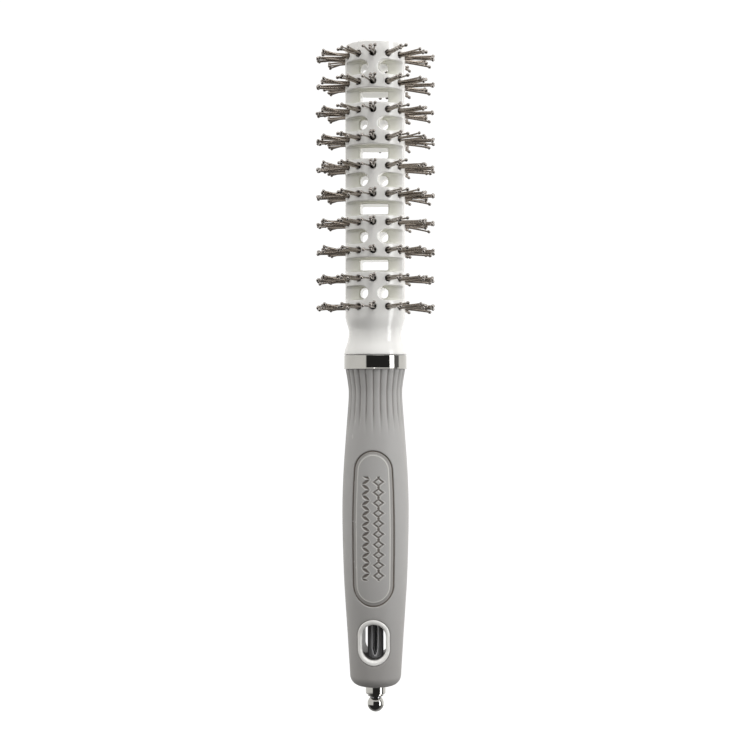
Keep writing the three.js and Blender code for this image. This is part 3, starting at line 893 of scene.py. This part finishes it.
def badge_depth(x, z):
    """The groove round the badge."""
    middle = (BADGE["top"] + BADGE["bottom"]) / 2
    half_height = (BADGE["top"] - BADGE["bottom"]) / 2
    taper = np.where(z < middle, *BADGE["taper"])
    half_width = BADGE["half_width"] - taper * ((z - middle) / half_height) ** 2
    inward = -racetrack(x, z, half_width, half_height, middle)
    line = BADGE_LINE["depth"] * hump(inward - BADGE_LINE["inward"], BADGE_LINE["width"])
    falling = smooth_step(BADGE_FLOOR["start"], BADGE_FLOOR["full"], inward)
    rising = smooth_step(BADGE_FLOOR["rising"], BADGE_FLOOR["end"], inward)
    bead = BADGE_BEAD["height"] * hump(inward - BADGE_BEAD["inward"], BADGE_BEAD["width"])
    return line + BADGE_FLOOR["depth"] * falling * (1 - rising) - bead


def flute_depth(turn, z):
    """The grooves under the band: soft valleys between round ribs, which fade out downwards."""
    step = 2 * math.pi / FLUTES["count"]
    away = np.abs((turn + step / 2) % step - step / 2) / (step / 2)
    valley = FLUTE_SHAPE["wide"] * (1 - away) ** 2
    valley = valley + FLUTE_SHAPE["narrow"] * hump(away, FLUTE_SHAPE["narrow_width"])
    return FLUTES["depth"] * smooth_step(FLUTES["end"], FLUTES["fade_start"], z) * valley


def grip_depth(turn, z):
    """How deep the grip's surface lies under its smooth outline."""
    x = grip_radius(z) * np.sin(turn)
    front = np.cos(turn) > 0
    depth = flute_depth(turn, z) + np.where(front, badge_depth(x, z) + mark_depth(x, z), 0)
    seam = racetrack(x, z, RIM["half_width"], RIM["half_height"], RIM["middle"])
    return depth + RIM_SEAM["depth"] * hump(seam, RIM_SEAM["width"])


def grip_columns():
    """Angles round the grip: close together in front, and gathered at each groove elsewhere."""
    step = 360 / FLUTES["count"]
    front_flutes = 3  # on each side of the front
    fine = np.arange(-front_flutes * step, front_flutes * step, step / 22)
    in_flute = np.array((0, 1.2, 3.2, 6.2, 8.8, 11.8, 13.8))
    rest = range(front_flutes, FLUTES["count"] - front_flutes)
    return np.radians(np.concatenate((fine, *(flute * step + in_flute for flute in rest))))


def grip_rows():
    """Heights down the grip's outside, closest over the badge."""
    stops, steps = (GRIP_TOP, 27.5, 24.3, -32.2, GRIP_ROUND_Z), (0.6, 0.45, 0.23, 0.5)
    zones = zip(stops, stops[1:], steps)
    return np.concatenate([np.arange(top, bottom, -step) for top, bottom, step in zones])


def make_grip(look):
    columns, heights = grip_columns(), grip_rows()
    lower = np.linspace(0, math.pi / 2, 16)
    heel, depth = grip_radius(GRIP_ROUND_Z), GRIP_ROUND_Z - GRIP_BOTTOM
    # Rings of (radius, z, how much of the surface's depth counts).
    outer = [(grip_radius(z), z, 1) for z in heights]
    rounding = heel - GRIP_END_RADIUS
    outer += [
        (GRIP_END_RADIUS + rounding * math.cos(t), GRIP_ROUND_Z - depth * math.sin(t), 0)
        for t in lower
    ]
    nose = GRIP_END_RADIUS - GRIP_WALL
    inner = [
        (nose + GRIP_CHAMFER, GRIP_BOTTOM, 0), (nose, GRIP_BOTTOM + GRIP_CHAMFER, 0),
        (nose, GRIP_BOTTOM + GRIP_WALL, 0),
    ]
    up_inside = np.linspace(GRIP_ROUND_Z, GRIP_TOP - HAIRLINE, 14)
    inner += [(grip_radius(z) - GRIP_WALL, z, 0) for z in up_inside]
    rings = np.array([*outer, *inner])
    radius = np.repeat(rings[:, :1], len(columns), 1)
    z = np.repeat(rings[:, 1:2], len(columns), 1)
    turn = np.repeat(columns[None, :], len(rings), 0)
    radius = radius - rings[:, 2:] * grip_depth(turn, z)
    vertices = np.stack((radius * np.sin(turn), -radius * np.cos(turn), z), 2).reshape(-1, 3)
    index = np.arange(radius.size).reshape(radius.shape)
    below, beside = np.roll(index, -1, 0), np.roll(index, -1, 1)
    quads = np.stack((index, below, np.roll(below, -1, 1), beside), 2).reshape(-1, 4)
    piece = new_object("grip_sleeve_fine", vertices, quads, look, sharp=60)
    cut_window(piece)
    mark_cavities(piece)
    belongs(piece, "brush", "soft_touch", "grip_sleeve")


def cut_window(piece):
    """Opens the grip round the window's rim, front and back."""
    half_width = RIM["half_width"] + RIM["clearance"]
    top_middle = RIM["middle"] + RIM["half_height"] - RIM["half_width"]
    turns = np.linspace(0, math.pi, 60)
    top = [(half_width * math.cos(t), top_middle + half_width * math.sin(t)) for t in turns]
    outline = top + [(-x, 2 * RIM["middle"] - z) for x, z in top]
    count, reach = len(outline), 2 * BAND_RADIUS
    vertices = [(x, -reach, z) for x, z in outline] + [(x, reach, z) for x, z in outline]
    faces = [tuple(range(count)), tuple(reversed(range(count, 2 * count)))]
    faces += [(i, i + count, (i + 1) % count + count, (i + 1) % count) for i in range(count)]
    cutter = new_object("window_cutter", vertices, faces)
    modifier = piece.modifiers.new("window", "BOOLEAN")
    modifier.operation, modifier.solver, modifier.object = "DIFFERENCE", "MANIFOLD", cutter
    apply_modifiers(piece)
    bpy.data.objects.remove(cutter)


def mark_cavities(piece):
    """Stores how deep each point of the surface lies in a groove, for the material's painted shade
    in grooves and painted highlight on raised marks.
    """
    x, y, z = vertices_of(piece).T
    turn = np.arctan2(x, -y)
    # The flutes get less painted shade than the badge's grooves.
    depth = (grip_depth(turn, z) - 0.6 * flute_depth(turn, z)) / FLUTES["depth"]
    outside = np.hypot(x, y) > grip_radius(z) - GRIP_WALL / 2
    cavity = np.where(outside & (z > GRIP_ROUND_Z), np.clip(depth, -1, 1), 0)
    store(piece, "cavity", cavity)


def make_core(look):
    reach, heights = GRIP_BOX[1][0], (GRIP_BOTTOM, GRIP_BOX[1][2])
    piece = moulded("handle_core_fine", core_field, reach, heights, look, **CORE_GRID)
    x, y, _ = vertices_of(piece).T
    # Painted shade on the window's walls, inside its rim.
    radius = np.hypot(x, y) - np.where(y > 0, WINDOW_SHADE["back"], 0)
    store(piece, "inside", smooth_step(*WINDOW_SHADE["radii"], radius))
    belongs(piece, "brush", "white_plastic", "handle_core")


def make_tube(look):
    outer, heights = TUBE_RADII[1], (TUBE_BOX[0][2], TUBE_BOX[1][2])
    piece = moulded("pick_guide_sleeve_fine", tube_field, outer, heights, look, **TUBE_GRID)
    x, y, z = vertices_of(piece).T
    narrowing = (z - SLIT["point"]) / (SLIT["square"] - SLIT["point"])
    half = SLIT["half_width"] * np.sqrt(np.clip(narrowing, 0, 1))
    from_slit = np.hypot(np.maximum(np.abs(x) - half, 0), np.maximum(SLIT["point"] - z, 0))
    limits = (SLIT["bevel"] + SLIT_LIGHTING["blur"], SLIT["bevel"] - SLIT_LIGHTING["blur"])
    painted_slit_lighting = smooth_step(*limits, from_slit) * (y < 0)
    outside = smooth_step(*SLIT_LIGHTING["depths"], np.hypot(x, y) - outer)
    # 1 where the slit's bevels get a painted highlight, 0 on the plating and -1 where the bore gets
    # painted shade.
    store(piece, "painted_slit_lighting", painted_slit_lighting * outside - (1 - outside))
    belongs(piece, "brush", "dark_chrome", "pick_guide_sleeve")


def make_collar(look):
    inner, outer = TUBE_RADII
    flange, flange_end, step = COLLAR["flange"], COLLAR["flange_end"], COLLAR["step"]
    end, top = COLLAR_BOX[0][2], COLLAR_BOX[1][2]
    corners = [
        (inner, end, 0.12), (step, end, 0.35), (step, flange_end, 0.1), (flange, flange_end, 0.15),
        (flange, GRIP_BOTTOM, 0.1), (outer, GRIP_BOTTOM, 0), (outer, top, 0.1), (inner, top, 0.1),
    ]
    belongs(turned_ring("pick_collar_fine", corners, 96, look), "brush", "chrome", "pick_collar")


def make_rod(look):
    """The pick's shaft: a tenon in the ball, the clip's groove and a domed head."""
    radius, groove, tenon = ROD["radius"], ROD["groove"], ROD["tenon"]
    bottom, top, neck = ROD_BOX[0][2], ROD_BOX[1][2], BALL_BOX[1][2]
    clip_low, clip_high = CLIP_BOX[0][2] - GAP, CLIP_BOX[1][2] + GAP
    corners = [
        (0, bottom, 0), (tenon, bottom, 0.1), (tenon, neck - 0.4, 0), (radius, neck - 0.1, 0.2),
        (radius, clip_low, 0.1), (groove, clip_low, 0.1), (groove, clip_high, 0.1),
        (radius, clip_high, 0.1), (radius, top, 0.5), (0, top, 0),
    ]
    piece = turned("pick_rod_fine", eased(corners, 5), 64, look)
    belongs(piece, "pick", "dark_chrome", "pick_rod")


def make_ball(look):
    radius, bore = BALL["radius"], BALL["bore"]
    centre = BALL_BOX[0][2] + radius
    rod_edge = math.asin(ROD["radius"] / radius)
    turns = np.linspace(math.pi, rod_edge, 40)
    side = [(radius * math.sin(t), centre + radius * math.cos(t)) for t in turns]
    side[0] = (0, centre - radius)
    floor = ROD_BOX[0][2] - GAP
    hole = [(bore, side[-1][1]), (bore, floor), (0, floor)]
    piece = turned("pick_ball_fine", [*side, *hole], 96, look)
    belongs(piece, "pick", "chrome", "pick_ball")


# ---- Studio ----

# From here on, lengths are in metres.
MIDDLE_Z = (CAD_BOX[0].z + CAD_BOX[1].z) / 2
CAMERA = {
    "azimuth": math.radians(4.7), "roll": math.radians(0.04), "distance": 0.535, "lens": 71.3,
    "sensor": 36, "shift": -0.0006,
}
FLOOR_Z = -0.13  # just under the pick when it is fully out
ROOM = {"lit": 1.02, "dim_left": 0.035, "dim_right": 0.19, "seen": 1.05}
# Name, azimuth from the camera, elevation, distance, width, height, radiance, and whether glossy
# surfaces reflect it.
SOFTBOXES = (
    ("strip_light", 63, 0, 0.9, 0.28, 0.95, 5.5, True),
    ("top_light", 14, 58, 0.8, 0.45, 0.4, 3.0, True),
    ("fill_light", -8, 12, 0.9, 0.6, 0.8, 0.75, False),
    ("side_fill_light", 55, 32, 0.42, 0.25, 0.25, 0.75, False),
)


def make_camera():
    data = bpy.data.cameras.new("camera")
    data.lens, data.sensor_width, data.shift_x = CAMERA["lens"], CAMERA["sensor"], CAMERA["shift"]
    camera = add_object("camera", data)
    azimuth, distance = CAMERA["azimuth"], CAMERA["distance"]
    camera.location = (distance * math.sin(azimuth), -distance * math.cos(azimuth), MIDDLE_Z)
    camera.rotation_euler = (math.pi / 2, CAMERA["roll"], azimuth)
    bpy.context.scene.camera = camera


def make_softbox(name, azimuth, elevation, distance, width, height, radiance, reflected):
    """An area light that faces the brush, placed by its direction from the brush's middle."""
    data = bpy.data.lights.new(name, "AREA")
    data.shape, data.size, data.size_y = "RECTANGLE", width, height
    data.energy = radiance * math.pi * width * height
    light = add_object(name, data)
    turn, lift = math.radians(azimuth) + CAMERA["azimuth"], math.radians(elevation)
    light.location = (
        distance * math.sin(turn) * math.cos(lift),
        -distance * math.cos(turn) * math.cos(lift),
        MIDDLE_Z + distance * math.sin(lift),
    )
    light.rotation_euler = (math.pi / 2 - lift, 0, turn)
    light.visible_glossy = reflected


def make_world():
    """A pale room that is white behind, to the left and above, and dark ahead and below."""
    world = bpy.data.worlds.new("studio")
    bpy.context.scene.world = world
    world.use_nodes = True
    nodes, link = world.node_tree.nodes, world.node_tree.links.new
    graph = Graph(world.node_tree)
    direction = graph.node("ShaderNodeTexCoord").outputs["Generated"]
    x, y, z = graph.node("ShaderNodeSeparateXYZ", {0: direction}).outputs
    turn = graph.math("ARCTAN2", x, graph.math("MULTIPLY", y, -1.0))
    turn = graph.math("SUBTRACT", turn, CAMERA["azimuth"])
    left = graph.remap(turn, math.radians(-32), math.radians(-37), 0.0, 1.0)
    right = graph.remap(turn, math.radians(93), math.radians(99), 0.0, 1.0)
    above = graph.remap(z, 0.5, 0.62, 0.0, 1.0)
    lit = graph.math("MAXIMUM", graph.math("MAXIMUM", left, right), above)
    # Below the horizon it is dark, but less so behind the brush.
    low = graph.remap(z, -0.34, -0.26, 0.0, 1.0)
    behind = graph.math("MULTIPLY", graph.remap(y, -0.1, 0.5, 0.0, 1.0), 0.35)
    lit = graph.math("MULTIPLY", lit, graph.math("MAXIMUM", low, behind))
    start, end = math.radians(66), math.radians(74)
    dim = graph.remap(turn, start, end, ROOM["dim_left"], ROOM["dim_right"])
    strength = graph.math("ADD", graph.math("MULTIPLY", lit, ROOM["lit"]), dim)
    background = nodes["Background"]
    background.inputs["Color"].default_value = colour(1.0, 0.99, 0.97)
    link(strength, background.inputs["Strength"])
    seen = graph.node("ShaderNodeBackground", {"Color": colour(1, 1, 1), "Strength": ROOM["seen"]})
    camera_ray = graph.node("ShaderNodeLightPath").outputs["Is Camera Ray"]
    shaders = {0: camera_ray, 1: background.outputs[0], 2: seen.outputs[0]}
    mixed = graph.node("ShaderNodeMixShader", shaders)
    link(mixed.outputs[0], nodes["World Output"].inputs["Surface"])


def make_floor():
    """A pale table, lit from within, that fades into the white of the room."""
    even = {"Base Color": colour(0.5, 0.5, 0.5), "Roughness": 0.9}
    even |= {"Emission Color": colour(1, 1, 1), "Emission Strength": 0.72}
    made, graph = material("pale_floor", even)
    place = graph.node("ShaderNodeTexCoord").outputs["Object"]
    distance = graph.node("ShaderNodeVectorMath", {0: place}, operation="LENGTH").outputs["Value"]
    fade = graph.remap(distance, 0.12, 0.42, 0.0, 1.0)
    clear = graph.node("ShaderNodeBsdfTransparent")
    shaders = {0: fade, 1: graph.shader.outputs[0], 2: clear.outputs[0]}
    mixed = graph.node("ShaderNodeMixShader", shaders)
    surface_socket = made.node_tree.nodes["Material Output"].inputs["Surface"]
    graph.tree.links.new(mixed.outputs[0], surface_socket)
    sides, radius = 64, 450
    turns = np.linspace(0, 2 * math.pi, sides, endpoint=False)
    ring = [(radius * math.cos(t), radius * math.sin(t), 0) for t in turns]
    floor = new_object("floor", ring, [tuple(range(sides))], made)
    floor.location.z = FLOOR_Z
    floor.visible_glossy = False
    floor.visible_diffuse = False


# ---- Assembly ----

make_camera()
make_world()
make_floor()
for softbox in SOFTBOXES:
    make_softbox(*softbox)

WHITE, GREY = white_plastic(), soft_touch()
CHROME, DARK_CHROME, STEEL = (polished_metal(name, *look) for name, look in METALS.items())
NYLON, TIP = bristle_nylon(), bristle_tip()

make_barrel(WHITE)
make_end_cap(WHITE)
make_band(CHROME)
bristle_rng = np.random.default_rng(20)
for row in range(ROW_COUNT):
    make_tuft_row(row, bristle_rng, NYLON, TIP)
make_grip(GREY)
make_core(WHITE)
make_tube(satin_tube())
make_collar(CHROME)
make_rod(DARK_CHROME)
make_ball(CHROME)

clip = frame["nodes"]["pick_stop_clip"]
clip.data.materials.clear()
clip.data.materials.append(STEEL)

bpy.context.scene.view_settings.view_transform = "Standard"
